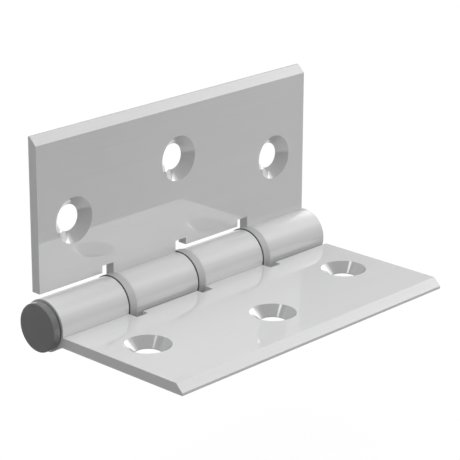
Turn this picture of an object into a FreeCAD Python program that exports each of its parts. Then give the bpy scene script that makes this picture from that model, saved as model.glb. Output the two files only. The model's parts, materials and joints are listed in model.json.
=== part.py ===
import FreeCAD, Part
import math
import os

# A butt hinge of two extruded leaves on one pin, modelled standing open at a right angle.
# All sizes are in millimetres. The frame leaf lies flat and reaches along +X, the door leaf
# stands up along +Z, and the pin runs along Y with its cap at the -Y end. The origin is on
# the back of the frame leaf, halfway between its two end screw holes.

# Leaves
leaf_length = 100.0  # along the pin
leaf_reach = 49.25  # pin axis to outer edge
leaf_thickness = 2.8
closed_gap = 3.0  # between the two countersunk faces when the hinge is shut
edge_chamfer = 2.1  # along the outer edge, on the countersunk face
barrel_radius = 7.0
back_fillet = 1.2  # between the back of a leaf and its barrel

# Knuckles, alternately on the frame leaf and on the door leaf
knuckle_count = 4
running_gap = 0.3  # between each bush and the knuckle in front of it
swing_clearance = 0.75  # between a bush's ring and the cut-out it turns in
notch_width = 4.0  # relief slot beside each inner knuckle end
notch_depth = 2.0  # how far the relief slot goes past the cut-out

# Screw holes
screw_hole_radius = 3.6
countersink_radius = 6.2  # at the leaf's face, where the cone is 90 degrees
end_hole_inset = 12.25  # leaf end to end hole
end_hole_reach = 25.0  # pin axis to end holes
middle_hole_reach = 33.0  # pin axis to middle hole

# Pin
pin_radius = 4.0
pin_clearance = 0.05  # radial, in the door leaf and in the bushes
pin_end_recess = 0.6  # pin end below the barrel's plain end
pin_end_chamfer = 0.5

# Bushes, each a ring with a short sleeve set into the knuckle behind it
ring_lip = 0.25  # how far a ring stands out over the barrel
ring_thickness = 2.4
sleeve_wall = 1.15
sleeve_length = 5.0
sleeve_end_space = 0.4  # left free behind the sleeve

# Cap
cap_height = 2.6  # how far it stands out of the barrel
cap_front_radius = 6.5
cap_draft = 0.05  # how much wider the cap is at its back
cap_edge_round = 0.25
cap_seat_radius = 5.4  # shoulder that the cap stands on
cap_seat_height = 0.55
cap_spigot_length = 6.0

face_offset = closed_gap / 2
back_offset = face_offset + leaf_thickness
knuckle_gap = ring_thickness + running_gap
knuckle_length = (leaf_length - (knuckle_count - 1) * knuckle_gap) / knuckle_count
ring_radius = barrel_radius + ring_lip
cut_out_reach = ring_radius + swing_clearance
running_bore_radius = pin_radius + pin_clearance
sleeve_radius = running_bore_radius + sleeve_wall
first_end = -leaf_length / 2
last_end = leaf_length / 2
overcut = 1.0  # how far cutting tools reach past what they cut

along_pin = FreeCAD.Vector(0, 1, 0)
pin_axis_place = FreeCAD.Vector(-end_hole_reach, 0, back_offset)


def knuckle_start(index):
    return first_end + index * (knuckle_length + knuckle_gap)


def leaf_section():
    """The extruded section at the first end: plate, chamfered edge, barrel and back fillet."""

    def point(reach, height):
        return FreeCAD.Vector(reach, first_end, height)

    face_meets_barrel = math.sqrt(barrel_radius**2 - face_offset**2)
    fillet_height = back_offset + back_fillet
    fillet_reach = math.sqrt((barrel_radius + back_fillet) ** 2 - fillet_height**2)
    to_barrel = barrel_radius / (barrel_radius + back_fillet)

    face_start = point(face_meets_barrel, -face_offset)
    chamfer_top = point(leaf_reach - edge_chamfer, -face_offset)
    chamfer_foot = point(leaf_reach, -face_offset - edge_chamfer)
    back_corner = point(leaf_reach, -back_offset)
    fillet_start = point(fillet_reach, -back_offset)
    fillet_end = point(fillet_reach * to_barrel, -fillet_height * to_barrel)

    to_start = math.pi / 2
    to_end = math.atan2(fillet_height, -fillet_reach)
    middle_angle = (to_start + to_end) / 2
    fillet_middle = point(
        fillet_reach + back_fillet * math.cos(middle_angle),
        -fillet_height + back_fillet * math.sin(middle_angle),
    )
    edges = [
        Part.LineSegment(face_start, chamfer_top).toShape(),
        Part.LineSegment(chamfer_top, chamfer_foot).toShape(),
        Part.LineSegment(chamfer_foot, back_corner).toShape(),
        Part.LineSegment(back_corner, fillet_start).toShape(),
        Part.Arc(fillet_start, fillet_middle, fillet_end).toShape(),
        Part.Arc(fillet_end, point(-barrel_radius, 0), face_start).toShape(),
    ]
    return Part.Face(Part.Wire(edges))


def pin_axis_cylinder(radius, start, length):
    return Part.makeCylinder(radius, length, FreeCAD.Vector(0, start, 0), along_pin)


def cut_outs(first_knuckle):
    """The spaces for the other leaf's knuckles, with the relief slots at their inner ends."""
    depth = 2 * (barrel_radius + overcut)
    back = -(barrel_radius + overcut)

    def slot(low, high, reach):
        return Part.makeBox(reach - back, high - low, depth, FreeCAD.Vector(back, low, back))

    tools = []
    for index in range(1 - first_knuckle, knuckle_count, 2):
        low = first_end - overcut
        high = last_end + overcut
        if index > 0:
            low = knuckle_start(index) - knuckle_gap
            tools.append(slot(low, low + notch_width, cut_out_reach + notch_depth))
        if index < knuckle_count - 1:
            high = knuckle_start(index + 1)
            tools.append(slot(high - notch_width, high, cut_out_reach + notch_depth))
        tools.append(slot(low, high, cut_out_reach))
    return tools


def screw_holes():
    """Two holes near the ends and one between them, further out, all countersunk."""
    end_hole = last_end - end_hole_inset
    places = [(end_hole_reach, -end_hole), (middle_hole_reach, 0), (end_hole_reach, end_hole)]
    wide = countersink_radius + overcut
    down = FreeCAD.Vector(0, 0, -1)
    tools = []
    for reach, along in places:
        above = FreeCAD.Vector(reach, along, overcut - face_offset)
        depth = leaf_thickness + 2 * overcut
        tools.append(Part.makeCone(wide, screw_hole_radius, wide - screw_hole_radius, above, down))
        tools.append(Part.makeCylinder(screw_hole_radius, depth, above, down))
    return tools


def leaf(first_knuckle, bore_radius):
    """One leaf, flat, with its pin axis on the Y axis and every second knuckle."""
    body = leaf_section().extrude(along_pin * leaf_length)
    tools = cut_outs(first_knuckle) + screw_holes()
    tools.append(pin_axis_cylinder(bore_radius, first_end - overcut, leaf_length + 2 * overcut))
    for index in range(first_knuckle, knuckle_count, 2):
        if index > 0:
            socket_depth = sleeve_length + sleeve_end_space
            tools.append(pin_axis_cylinder(sleeve_radius, knuckle_start(index), socket_depth))
    return body.cut(tools).removeSplitter().Solids[0]


def bush(index):
    """The bush in front of a knuckle: a ring just wider than the barrel, with a sleeve behind it."""
    seat = knuckle_start(index)
    ring = pin_axis_cylinder(ring_radius, seat - ring_thickness, ring_thickness)
    sleeve = pin_axis_cylinder(sleeve_radius, seat, sleeve_length)
    total = ring_thickness + sleeve_length
    bore = pin_axis_cylinder(running_bore_radius, seat - ring_thickness, total)
    return ring.fuse(sleeve).cut(bore).removeSplitter().Solids[0]


def turned(edges):
    """A solid of revolution about the pin axis, from a closed outline in the XY plane."""
    section = Part.Face(Part.Wire(edges))
    return section.revolve(FreeCAD.Vector(0, 0, 0), along_pin, 360)


def hinge_pin():
    start = first_end + cap_spigot_length
    end = last_end - pin_end_recess
    inner = pin_radius - pin_end_chamfer
    corners = [
        (0, start),
        (inner, start),
        (pin_radius, start + pin_end_chamfer),
        (pin_radius, end - pin_end_chamfer),
        (inner, end),
        (0, end),
        (0, start),
    ]
    outline = Part.makePolygon([FreeCAD.Vector(radius, along, 0) for radius, along in corners])
    return turned(outline.Edges)


def pin_cap():
    """A button with slightly drafted sides on a low seat, and a spigot down the bore."""
    front = first_end - cap_height
    base = first_end - cap_seat_height
    back_radius = cap_front_radius + cap_draft
    flat_radius = cap_front_radius - cap_edge_round
    diagonal = cap_edge_round * (1 - math.sqrt(0.5))

    def point(radius, along):
        return FreeCAD.Vector(radius, along, 0)

    round_start = point(flat_radius, front)
    round_middle = point(cap_front_radius - diagonal, front + diagonal)
    round_end = point(cap_front_radius, front + cap_edge_round)
    rest = Part.makePolygon(
        [
            round_end,
            point(back_radius, base),
            point(cap_seat_radius, base),
            point(cap_seat_radius, first_end),
            point(pin_radius, first_end),
            point(pin_radius, first_end + cap_spigot_length),
            point(0, first_end + cap_spigot_length),
            point(0, front),
            round_start,
        ]
    )
    edges = [Part.Arc(round_start, round_middle, round_end).toShape()] + rest.Edges
    return turned(edges)


def build():
    door_side = FreeCAD.Vector(1, 0, -1)
    parts = {
        "frame_leaf": leaf(0, pin_radius),
        "door_leaf": leaf(1, running_bore_radius).mirror(FreeCAD.Vector(0, 0, 0), door_side),
        "hinge_pin": hinge_pin(),
        "pin_cap": pin_cap(),
    }
    for index in range(1, knuckle_count):
        parts[f"spacer_bush_{index}"] = bush(index)
    return parts


os.makedirs("parts", exist_ok=True)
for name, shape in build().items():
    shape.translate(pin_axis_place)
    shape.exportStep(f"parts/{name}.step")
    print(name, shape.ShapeType, len(shape.Solids), round(shape.Volume, 1), shape.isValid())
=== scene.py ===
import bpy
import json
import math
from mathutils import Matrix, Vector


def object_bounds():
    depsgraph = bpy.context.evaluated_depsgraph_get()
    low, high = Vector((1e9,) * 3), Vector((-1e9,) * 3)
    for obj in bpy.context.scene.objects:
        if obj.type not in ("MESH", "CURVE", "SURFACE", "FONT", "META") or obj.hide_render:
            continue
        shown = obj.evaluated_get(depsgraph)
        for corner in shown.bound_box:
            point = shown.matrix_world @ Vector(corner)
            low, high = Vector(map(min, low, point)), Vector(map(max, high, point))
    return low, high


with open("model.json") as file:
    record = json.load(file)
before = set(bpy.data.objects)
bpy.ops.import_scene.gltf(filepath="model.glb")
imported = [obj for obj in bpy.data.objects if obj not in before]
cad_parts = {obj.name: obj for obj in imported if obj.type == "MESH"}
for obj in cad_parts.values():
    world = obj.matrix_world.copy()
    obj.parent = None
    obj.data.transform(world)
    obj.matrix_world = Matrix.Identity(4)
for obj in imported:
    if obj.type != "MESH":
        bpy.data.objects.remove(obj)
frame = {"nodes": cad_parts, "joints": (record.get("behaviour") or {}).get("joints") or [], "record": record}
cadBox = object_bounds()
nodes = frame["nodes"]
mounts = {mount["name"]: mount for mount in frame["record"]["mounts"]}
pinAxis = Vector(frame["joints"][0]["pos_m"])
alongPin = Vector((0, 1, 0))
print("frame loaded:", ", ".join(sorted(nodes)))


# node helpers


def addNode(tree, kind, inputs, **settings):
    node = tree.nodes.new("ShaderNode" + kind)
    for name, value in settings.items():
        setattr(node, name, value)
    for name, value in inputs.items():
        if isinstance(value, bpy.types.NodeSocket):
            tree.links.new(value, node.inputs[name])
        else:
            node.inputs[name].default_value = value
    return node


def mathNode(tree, operation, *values, clamp=False):
    node = addNode(tree, "Math", dict(enumerate(values)), operation=operation, use_clamp=clamp)
    return node.outputs["Value"]


def vectorNode(tree, operation, *values, output="Vector"):
    node = addNode(tree, "VectorMath", dict(enumerate(values)), operation=operation)
    return node.outputs[output]


def alignment(tree, first, second):
    return vectorNode(tree, "DOT_PRODUCT", first, second, output="Value")


def remap(tree, value, fromMin, fromMax, toMin=0.0, toMax=1.0):
    limits = {"From Min": fromMin, "From Max": fromMax, "To Min": toMin, "To Max": toMax}
    return addNode(tree, "MapRange", {"Value": value, **limits}).outputs["Result"]


def blend(tree, share, first, second):
    # 2 and 3 are the Mix node's number sockets, which share the names A and B with others
    return addNode(tree, "Mix", {"Factor": share, 2: first, 3: second}).outputs[0]


def vary(tree, noise, middle, change):
    # nearly all of a noise's values lie between 0.3 and 0.7
    return remap(tree, noise, 0.3, 0.7, middle - change, middle + change)


def tinted(tree, tone, blueness):
    blue = mathNode(tree, "MULTIPLY", tone, blueness)
    color = addNode(tree, "CombineColor", {"Red": tone, "Green": tone, "Blue": blue})
    return color.outputs["Color"]


def newGroup(name, inputs, outputs):
    group = bpy.data.node_groups.new(name, "ShaderNodeTree")
    for socketName, kind, value in inputs:
        socket = group.interface.new_socket(name=socketName, in_out="INPUT", socket_type=kind)
        socket.default_value = value
    for socketName, kind in outputs:
        group.interface.new_socket(name=socketName, in_out="OUTPUT", socket_type=kind)
    start = group.nodes.new("NodeGroupInput").outputs
    end = group.nodes.new("NodeGroupOutput").inputs
    return group, start, end


def useGroup(tree, group, inputs):
    return addNode(tree, "Group", inputs, node_tree=group).outputs


def newMaterial(name):
    material = bpy.data.materials.new(name)
    material.use_nodes = True
    tree = material.node_tree
    return material, tree, tree.nodes["Principled BSDF"]


def addGrooves(tree, shader, height, depth):
    bump = addNode(tree, "Bump", {"Height": height, "Distance": depth})
    tree.links.new(bump.outputs["Normal"], shader.inputs["Normal"])


def dress(material, *nodeNames):
    for nodeName in nodeNames:
        mesh = nodes[nodeName].data
        mesh.materials.clear()
        mesh.materials.append(material)


# effects shared by the materials


def makeDieLines():
    # fine lines along one direction, as an extrusion die or a saw leaves them
    group, start, end = newGroup("dieLines", [
        ("Position", "NodeSocketVector", (0, 0, 0)),
        ("Squeeze", "NodeSocketVector", (1, 0.01, 1)),
        ("Spacing", "NodeSocketFloat", 0.0004),
    ], [("Value", "NodeSocketFloat")])
    perLine = mathNode(group, "DIVIDE", 1.0, start["Spacing"])
    squeezed = vectorNode(group, "MULTIPLY", start["Position"], start["Squeeze"])
    scaled = addNode(group, "VectorMath", {0: squeezed, "Scale": perLine}, operation="SCALE")
    noise = addNode(group, "TexNoise", {
        "Vector": scaled.outputs["Vector"], "Scale": 1.0, "Detail": 2.0, "Roughness": 0.6,
    })
    group.links.new(noise.outputs["Fac"], end["Value"])
    return group


def makeTurnedMarks():
    # rings about one axis, as a countersink bit or a lathe tool leaves them
    group, start, end = newGroup("turnedMarks", [
        ("Position", "NodeSocketVector", (0, 0, 0)),
        ("Center", "NodeSocketVector", (0, 0, 0)),
        ("Across", "NodeSocketVector", (1, 1, 0)),
        ("Spacing", "NodeSocketFloat", 0.0002),
    ], [("Distance", "NodeSocketFloat"), ("Value", "NodeSocketFloat")])
    offset = vectorNode(group, "SUBTRACT", start["Position"], start["Center"])
    flat = vectorNode(group, "MULTIPLY", offset, start["Across"])
    distance = vectorNode(group, "LENGTH", flat, output="Value")
    turns = mathNode(group, "DIVIDE", distance, start["Spacing"])
    noise = addNode(group, "TexNoise", {
        "W": turns, "Scale": 1.0, "Detail": 1.0,
    }, noise_dimensions="1D")
    group.links.new(distance, end["Distance"])
    group.links.new(noise.outputs["Fac"], end["Value"])
    return group


def makeHandling():
    # broad uneven gloss, as wiping and handling leave it, or a fine grain where it is small
    group, start, end = newGroup("handling", [
        ("Position", "NodeSocketVector", (0, 0, 0)),
        ("Size", "NodeSocketFloat", 0.012),
    ], [("Value", "NodeSocketFloat")])
    perPatch = mathNode(group, "DIVIDE", 1.0, start["Size"])
    noise = addNode(group, "TexNoise", {
        "Vector": start["Position"], "Scale": perPatch,
        "Detail": 4.0, "Roughness": 0.55, "Distortion": 0.6,
    })
    group.links.new(noise.outputs["Fac"], end["Value"])
    return group


def makeCreviceShade():
    # painted shade where another surface comes close, darker the more the place is closed in
    group, start, end = newGroup("creviceShade", [
        ("Reach", "NodeSocketFloat", 0.0025),
        ("Darkest", "NodeSocketFloat", 0.35),
    ], [("Value", "NodeSocketFloat")])
    occlusion = addNode(group, "AmbientOcclusion", {"Distance": start["Reach"]}, samples=16)
    narrow, wide = 0.1, 0.46  # how open a place is where the dark is full, and where it ends
    shade = remap(group, occlusion.outputs["AO"], narrow, wide, start["Darkest"], 1.0)
    group.links.new(shade, end["Value"])
    return group


dieLines = makeDieLines()
creviceShade = makeCreviceShade()
turnedMarks = makeTurnedMarks()
handling = makeHandling()


# leaves

leafLook = {
    "color": 0.68,
    "colorChange": 0.012,
    "blueness": 1.008,
    "endShadeColor": 0.82,  # of it, painted shade on the ends that look along the pin
    "roughness": 0.5,
    "roughnessChange": 0.08,
    "finishShare": 0.6,  # how much of that change follows the tool marks, the rest handling
    "coatRoughness": 0.015,
    "coatIor": 2.5,
    "lineSpacing": 0.0005,
    "sawSpacing": 0.0003,
    "sawSqueeze": (0.03, 1, 1),  # the saw's lines run along X
    "turnSpacing": 0.0003,
    "grooveDepth": 0.00001,
    "creviceShadeTone": 0.15,
    "endFacing": (0.9, 0.95),  # how straight along the pin a sawn end looks
    "drawnFacing": (0.9, 0.99),  # how straight along the hole's axis a drawn face looks
    "cutReach": 0.0064,  # from a hole's axis to just past its countersink
    "cutColor": {"frame_leaf": 0.41, "door_leaf": 0.46},  # in the countersinks
    "cutRoughness": 0.5,
    "paintedHighlight": {  # painted highlight on one side of each countersink: where it looks and how much brighter
        "frame_leaf": ((0.395, 0.586, 0.707), 1.4),
        "door_leaf": ((0.707, 0.375, 0.600), 1.9),
    },
    "paintedHighlightFacing": (0.965, 0.998),  # how straight that way a face looks, where the painted highlight begins and is full
}


def screwPlaces(leafName):
    ends = mounts[leafName + "_end_screws"]
    middle = Vector(mounts[leafName + "_middle_screw"]["pos_m"])
    dims = ends["dims"].items()
    spacing = next(size for name, size in dims if name.startswith("spacing")) / 1000
    center = Vector(ends["pos_m"])
    return [center - alongPin * spacing / 2, middle, center + alongPin * spacing / 2]


def turnedAroundHoles(tree, leafName, position, holeAxis, spacing):
    # the turning marks of the nearest screw hole, and how far away its axis is
    nearest = None
    for center in screwPlaces(leafName):
        marks = useGroup(tree, turnedMarks, {
            "Position": position, "Center": center,
            "Across": Vector((1, 1, 1)) - holeAxis, "Spacing": spacing,
        })
        if nearest is None:
            nearest, turned = marks["Distance"], marks["Value"]
            continue
        closer = mathNode(tree, "LESS_THAN", marks["Distance"], nearest)
        turned = blend(tree, closer, turned, marks["Value"])
        nearest = mathNode(tree, "MINIMUM", marks["Distance"], nearest)
    return turned, nearest


def makeLeafMaterial(leafName, look):
    material, tree, shader = newMaterial(leafName + "Aluminium")
    coordinates = tree.nodes.new("ShaderNodeTexCoord").outputs
    position, normal = coordinates["Object"], coordinates["Normal"]

    # drawn faces
    lines = useGroup(tree, dieLines, {"Position": position, "Spacing": look["lineSpacing"]})
    # sawn ends, where the face looks along the pin
    saw = useGroup(tree, dieLines, {
        "Position": position, "Spacing": look["sawSpacing"], "Squeeze": look["sawSqueeze"],
    })
    alongEnd = mathNode(tree, "ABSOLUTE", alignment(tree, normal, alongPin))
    endMask = remap(tree, alongEnd, *look["endFacing"])
    # countersinks, the sloping faces round each screw hole
    holeAxis = Vector(mounts[leafName + "_end_screws"]["axis"])
    turned, nearest = turnedAroundHoles(
        tree, leafName, position, holeAxis, look["turnSpacing"])
    alongHole = mathNode(tree, "ABSOLUTE", alignment(tree, normal, holeAxis))
    sloping = remap(tree, alongHole, *look["drawnFacing"], 1.0, 0.0)
    near = mathNode(tree, "LESS_THAN", nearest, look["cutReach"])
    cutMask = mathNode(tree, "MULTIPLY", sloping, near)

    finish = blend(tree, endMask, lines["Value"], saw["Value"])
    finish = blend(tree, cutMask, finish, turned)

    tone = vary(tree, finish, look["color"], look["colorChange"])
    # painted shade: the ends that look along the pin come out darker
    endShade = remap(tree, endMask, 0.0, 1.0, 1.0, look["endShadeColor"])
    tone = mathNode(tree, "MULTIPLY", tone, endShade)
    # painted shade in the crevices, where another surface comes close
    paintedShade = useGroup(tree, creviceShade, {"Darkest": look["creviceShadeTone"]})["Value"]
    tone = mathNode(tree, "MULTIPLY", tone, paintedShade)
    # painted highlight: each countersink is lighter on the side that looks that way
    side, highlightGain = look["paintedHighlight"][leafName]
    cutColor = look["cutColor"][leafName]
    towardHighlight = alignment(tree, normal, side)
    cutToneAndHighlight = remap(tree, towardHighlight, *look["paintedHighlightFacing"], cutColor, cutColor * highlightGain)
    tone = blend(tree, cutMask, tone, cutToneAndHighlight)
    tree.links.new(tinted(tree, tone, look["blueness"]), shader.inputs["Base Color"])

    patches = useGroup(tree, handling, {"Position": position})["Value"]
    rough = blend(tree, look["finishShare"], patches, finish)
    rough = vary(tree, rough, look["roughness"], look["roughnessChange"])
    rough = blend(tree, cutMask, rough, look["cutRoughness"])
    tree.links.new(rough, shader.inputs["Roughness"])
    addGrooves(tree, shader, finish, look["grooveDepth"])
    shader.inputs["Coat Weight"].default_value = 1.0
    shader.inputs["Coat Roughness"].default_value = look["coatRoughness"]
    shader.inputs["Coat IOR"].default_value = look["coatIor"]
    return material


for leafName in ("frame_leaf", "door_leaf"):
    dress(makeLeafMaterial(leafName, leafLook), leafName)
print("leaves finished")


# spacer bushes

bushLook = {
    "color": 0.45,
    "colorChange": 0.018,
    "faceShadeColor": 0.5,  # of it, painted shade on the faces along the pin
    "faceFacing": (0.9, 0.95),  # how straight along the pin such a face looks
    "roughness": 0.45,
    "roughnessChange": 0.05,
    "grainSize": 0.00025,
    "grainHeight": 0.00001,
    "creviceShadeTone": 0.1,
}


def makeBushMaterial(look):
    material, tree, shader = newMaterial("bushPlastic")
    coordinates = tree.nodes.new("ShaderNodeTexCoord").outputs
    grain = useGroup(tree, handling, {
        "Position": coordinates["Object"], "Size": look["grainSize"],
    })["Value"]
    tone = vary(tree, grain, look["color"], look["colorChange"])
    alongFace = mathNode(tree, "ABSOLUTE", alignment(tree, coordinates["Normal"], alongPin))
    shadedFaceMask = remap(tree, alongFace, *look["faceFacing"])
    # painted shade: the faces that look along the pin come out darker
    faceShade = remap(tree, shadedFaceMask, 0.0, 1.0, 1.0, look["faceShadeColor"])
    tone = mathNode(tree, "MULTIPLY", tone, faceShade)
    # painted shade in the crevices, where another surface comes close
    paintedShade = useGroup(tree, creviceShade, {"Darkest": look["creviceShadeTone"]})["Value"]
    tone = mathNode(tree, "MULTIPLY", tone, paintedShade)
    tree.links.new(tone, shader.inputs["Base Color"])
    rough = vary(tree, grain, look["roughness"], look["roughnessChange"])
    tree.links.new(rough, shader.inputs["Roughness"])
    addGrooves(tree, shader, grain, look["grainHeight"])
    return material


dress(makeBushMaterial(bushLook), *[name for name in nodes if name.startswith("spacer_bush")])
print("bushes finished")


# pin and cap

pinLook = {
    "name": "pinSteel",
    "color": 0.6,
    "colorChange": 0.036,
    "blueness": 1.02,
    "metallic": 1.0,
    "roughness": 0.3,
    "roughnessChange": 0.06,
    "coat": 0.0,
    "coatRoughness": 0.03,
    "coatIor": 2.0,
    "turnSpacing": 0.0003,
    "grooveDepth": 0.000004,
    "patchSize": 0.004,
}

capLook = {
    **pinLook,
    "name": "capPaint",
    "color": 0.155,
    "colorChange": 0.0093,
    "metallic": 0.0,
    "roughness": 0.4,
    "coat": 1.0,
    "turnSpacing": 0.0005,
}


def makeTurnedMaterial(look):
    material, tree, shader = newMaterial(look["name"])
    position = tree.nodes.new("ShaderNodeTexCoord").outputs["Object"]
    marks = useGroup(tree, turnedMarks, {
        "Position": position, "Center": pinAxis,
        "Across": (1, 0, 1), "Spacing": look["turnSpacing"],
    })["Value"]
    patches = useGroup(tree, handling, {"Position": position, "Size": look["patchSize"]})["Value"]
    finish = blend(tree, 0.5, marks, patches)
    tone = vary(tree, finish, look["color"], look["colorChange"])
    tree.links.new(tinted(tree, tone, look["blueness"]), shader.inputs["Base Color"])
    rough = vary(tree, finish, look["roughness"], look["roughnessChange"])
    tree.links.new(rough, shader.inputs["Roughness"])
    addGrooves(tree, shader, marks, look["grooveDepth"])
    shader.inputs["Metallic"].default_value = look["metallic"]
    shader.inputs["Coat Weight"].default_value = look["coat"]
    shader.inputs["Coat Roughness"].default_value = look["coatRoughness"]
    shader.inputs["Coat IOR"].default_value = look["coatIor"]
    return material


dress(makeTurnedMaterial(pinLook), "hinge_pin")
dress(makeTurnedMaterial(capLook), "pin_cap")
print("pin and cap finished")


# floor, light and camera

floorSetup = {
    "side": 8.0,
    "clear": 0.002,  # below the door leaf where it has swung right down
    "color": 0.38,
    "roughness": 0.9,
    "glow": 1.12,  # what the camera sees, so that the open floor comes out white
    "shadowShare": 0.15,  # how much of the floor's own shading shows
    "mirrored": (0.024, 0.24),  # of the glow, in the polished faces, from near to far
    "mirroredAcross": (-0.02, 0.1),  # Y less X, where near ends and far begins
    "mirroredBehind": 1.0,  # the same, past the door leaf
    "behindAlong": (-0.02, -0.01),  # from the pin axis along X, where that is full and gone
    "behindAcross": (0.055, 0.075),  # Y less X, where that begins and is full
}


def makeFloor(setup):
    half = setup["side"] / 2
    low = pinAxis.z - (cadBox[1][2] - pinAxis.z) - setup["clear"]
    corners = [(-half, -half, low), (half, -half, low), (half, half, low), (-half, half, low)]
    mesh = bpy.data.meshes.new("floor")
    mesh.from_pydata(corners, [], [(0, 1, 2, 3)])
    floor = bpy.data.objects.new("floor", mesh)
    bpy.context.scene.collection.objects.link(floor)

    material, tree, shader = newMaterial("floorPaper")
    shader.inputs["Base Color"].default_value = (*[setup["color"]] * 3, 1)
    shader.inputs["Roughness"].default_value = setup["roughness"]
    shader.inputs["Specular IOR Level"].default_value = 0.0
    path = tree.nodes.new("ShaderNodeLightPath").outputs
    seen = mathNode(tree, "ADD", path["Is Camera Ray"], path["Is Transmission Ray"], clamp=True)
    position = tree.nodes.new("ShaderNodeTexCoord").outputs["Object"]
    place = addNode(tree, "SeparateXYZ", {"Vector": position}).outputs
    across = mathNode(tree, "SUBTRACT", place["Y"], place["X"])
    full, gone = (pinAxis.x + along for along in setup["behindAlong"])
    behind = remap(tree, place["X"], full, gone, 1.0, 0.0)
    behind = mathNode(tree, "MULTIPLY", behind, remap(tree, across, *setup["behindAcross"]))
    mirrored = remap(tree, across, *setup["mirroredAcross"], *setup["mirrored"])
    mirrored = blend(tree, behind, mirrored, setup["mirroredBehind"])
    glow = mathNode(tree, "MULTIPLY_ADD", path["Is Glossy Ray"], mirrored, seen)
    glow = mathNode(tree, "MULTIPLY", glow, setup["glow"])
    paper = addNode(tree, "Emission", {"Strength": glow})
    share = mathNode(tree, "MAXIMUM", seen, path["Is Glossy Ray"])
    share = mathNode(tree, "MULTIPLY", share, 1 - setup["shadowShare"])
    mix = addNode(tree, "MixShader", {
        0: share, 1: shader.outputs["BSDF"], 2: paper.outputs["Emission"],
    })
    tree.links.new(mix.outputs["Shader"], tree.nodes["Material Output"].inputs["Surface"])
    mesh.materials.append(material)


makeFloor(floorSetup)

lampSetup = {
    "spread": 83,
    "lamps": [  # azimuth from +X and elevation in degrees, energy
        (-84, 66, 1.10),
        (-169, 58, 0.93),
        (-24, 6, 0.68),
        (-32, 54, 0.90),
        (-12, 33, 0.42),
    ],
}

skySetup = {
    "mirrored": 0.032,  # how much of the white background shows in the polished faces
    "lights": [  # azimuth from +X and elevation in degrees, strength, sharpness
        (84, 20, 3.00, 23),
        (56, 38, 0.32, 60),
        (130, 25, 0.24, 8),
        (137, 71, 0.48, 8),
        (60, 10, 0.24, 8),
        (103, 5, 5.00, 60),
        (134, 0, 1.40, 200),
        (146, 4, 0.80, 120),
        (-109, 63, 3.00, 400),
    ],
    "strip": {  # a strip light across the pin, which stands mirrored at the barrel's far end
        "toward": (116, 36),
        "strength": 1.8,
        "sharpness": 18,
        "along": 0.722,  # how far round it lies, as the Y of its direction
        "width": 0.0154,
        "bottom": (0.37, 0.43),  # where it begins and is full, as the Z of its direction
    },
}


def toward(azimuth, elevation):
    across, up = math.radians(azimuth), math.radians(elevation)
    return Vector((math.cos(across) * math.cos(up), math.sin(across) * math.cos(up), math.sin(up)))


def makeLamps(setup):
    for azimuth, elevation, energy in setup["lamps"]:
        light = bpy.data.lights.new("lamp", "SUN")
        light.energy = energy
        light.angle = math.radians(setup["spread"])
        lamp = bpy.data.objects.new("lamp", light)
        lamp.rotation_euler = toward(azimuth, elevation).to_track_quat("Z", "Y").to_euler()
        # they light the object without standing mirrored in it
        lamp.visible_glossy = False
        bpy.context.scene.collection.objects.link(lamp)


makeLamps(lampSetup)


def makeSky(setup):
    world = bpy.data.worlds.new("studio")
    bpy.context.scene.world = world
    world.use_nodes = True
    tree = world.node_tree
    background = tree.nodes["Background"]
    background.inputs["Color"].default_value = (1, 1, 1, 1)
    direction = tree.nodes.new("ShaderNodeTexCoord").outputs["Generated"]
    path = tree.nodes.new("ShaderNodeLightPath").outputs

    def fallOff(azimuth, elevation, sharpness):
        # 0 toward the light and ever lower away from it
        facing = alignment(tree, direction, toward(azimuth, elevation))
        return mathNode(tree, "MULTIPLY_ADD", facing, sharpness, -sharpness)

    level = mathNode(tree, "MULTIPLY", path["Is Glossy Ray"], setup["mirrored"])
    for azimuth, elevation, strength, sharpness in setup["lights"]:
        spot = mathNode(tree, "EXPONENT", fallOff(azimuth, elevation, sharpness))
        level = mathNode(tree, "MULTIPLY_ADD", spot, strength, level)

    strip = setup["strip"]
    past = mathNode(tree, "SUBTRACT", alignment(tree, direction, alongPin), strip["along"])
    past = mathNode(tree, "DIVIDE", past, strip["width"])
    past = mathNode(tree, "MULTIPLY", past, past)
    fall = mathNode(tree, "SUBTRACT", fallOff(*strip["toward"], strip["sharpness"]), past)
    height = alignment(tree, direction, (0, 0, 1))
    begun = remap(tree, height, *strip["bottom"])
    line = mathNode(tree, "MULTIPLY", mathNode(tree, "EXPONENT", fall), begun)
    level = mathNode(tree, "MULTIPLY_ADD", line, strip["strength"], level)

    seen = mathNode(tree, "ADD", path["Is Camera Ray"], path["Is Transmission Ray"], clamp=True)
    tree.links.new(blend(tree, seen, level, 1.0), background.inputs["Strength"])


makeSky(skySetup)

cameraSetup = {
    "azimuth": 43.37,
    "elevation": 19.334,
    "roll": 0.276,
    "aim": (0.002637, -0.010825, 0.02694),
    "distance": 0.50669,
    "lens": 155.586,
    "clipStart": 0.01,
}


def makeCamera(setup):
    azimuth = math.radians(setup["azimuth"])
    elevation = math.radians(setup["elevation"])
    back = Vector((
        math.sin(azimuth) * math.cos(elevation),
        -math.cos(azimuth) * math.cos(elevation),
        math.sin(elevation),
    ))
    right = Vector((math.cos(azimuth), math.sin(azimuth), 0))
    up = back.cross(right)
    axes = Matrix((right, up, back)).transposed()
    turned = axes @ Matrix.Rotation(math.radians(setup["roll"]), 3, "Z")
    camera = bpy.data.objects.new("camera", bpy.data.cameras.new("camera"))
    camera.data.lens = setup["lens"]
    camera.data.clip_start = setup["clipStart"]
    place = Vector(setup["aim"]) + back * setup["distance"]
    camera.matrix_world = Matrix.Translation(place) @ turned.to_4x4()
    bpy.context.scene.collection.objects.link(camera)
    bpy.context.scene.camera = camera


makeCamera(cameraSetup)
bpy.context.scene.view_settings.view_transform = "Standard"
print("floor, light and camera made")
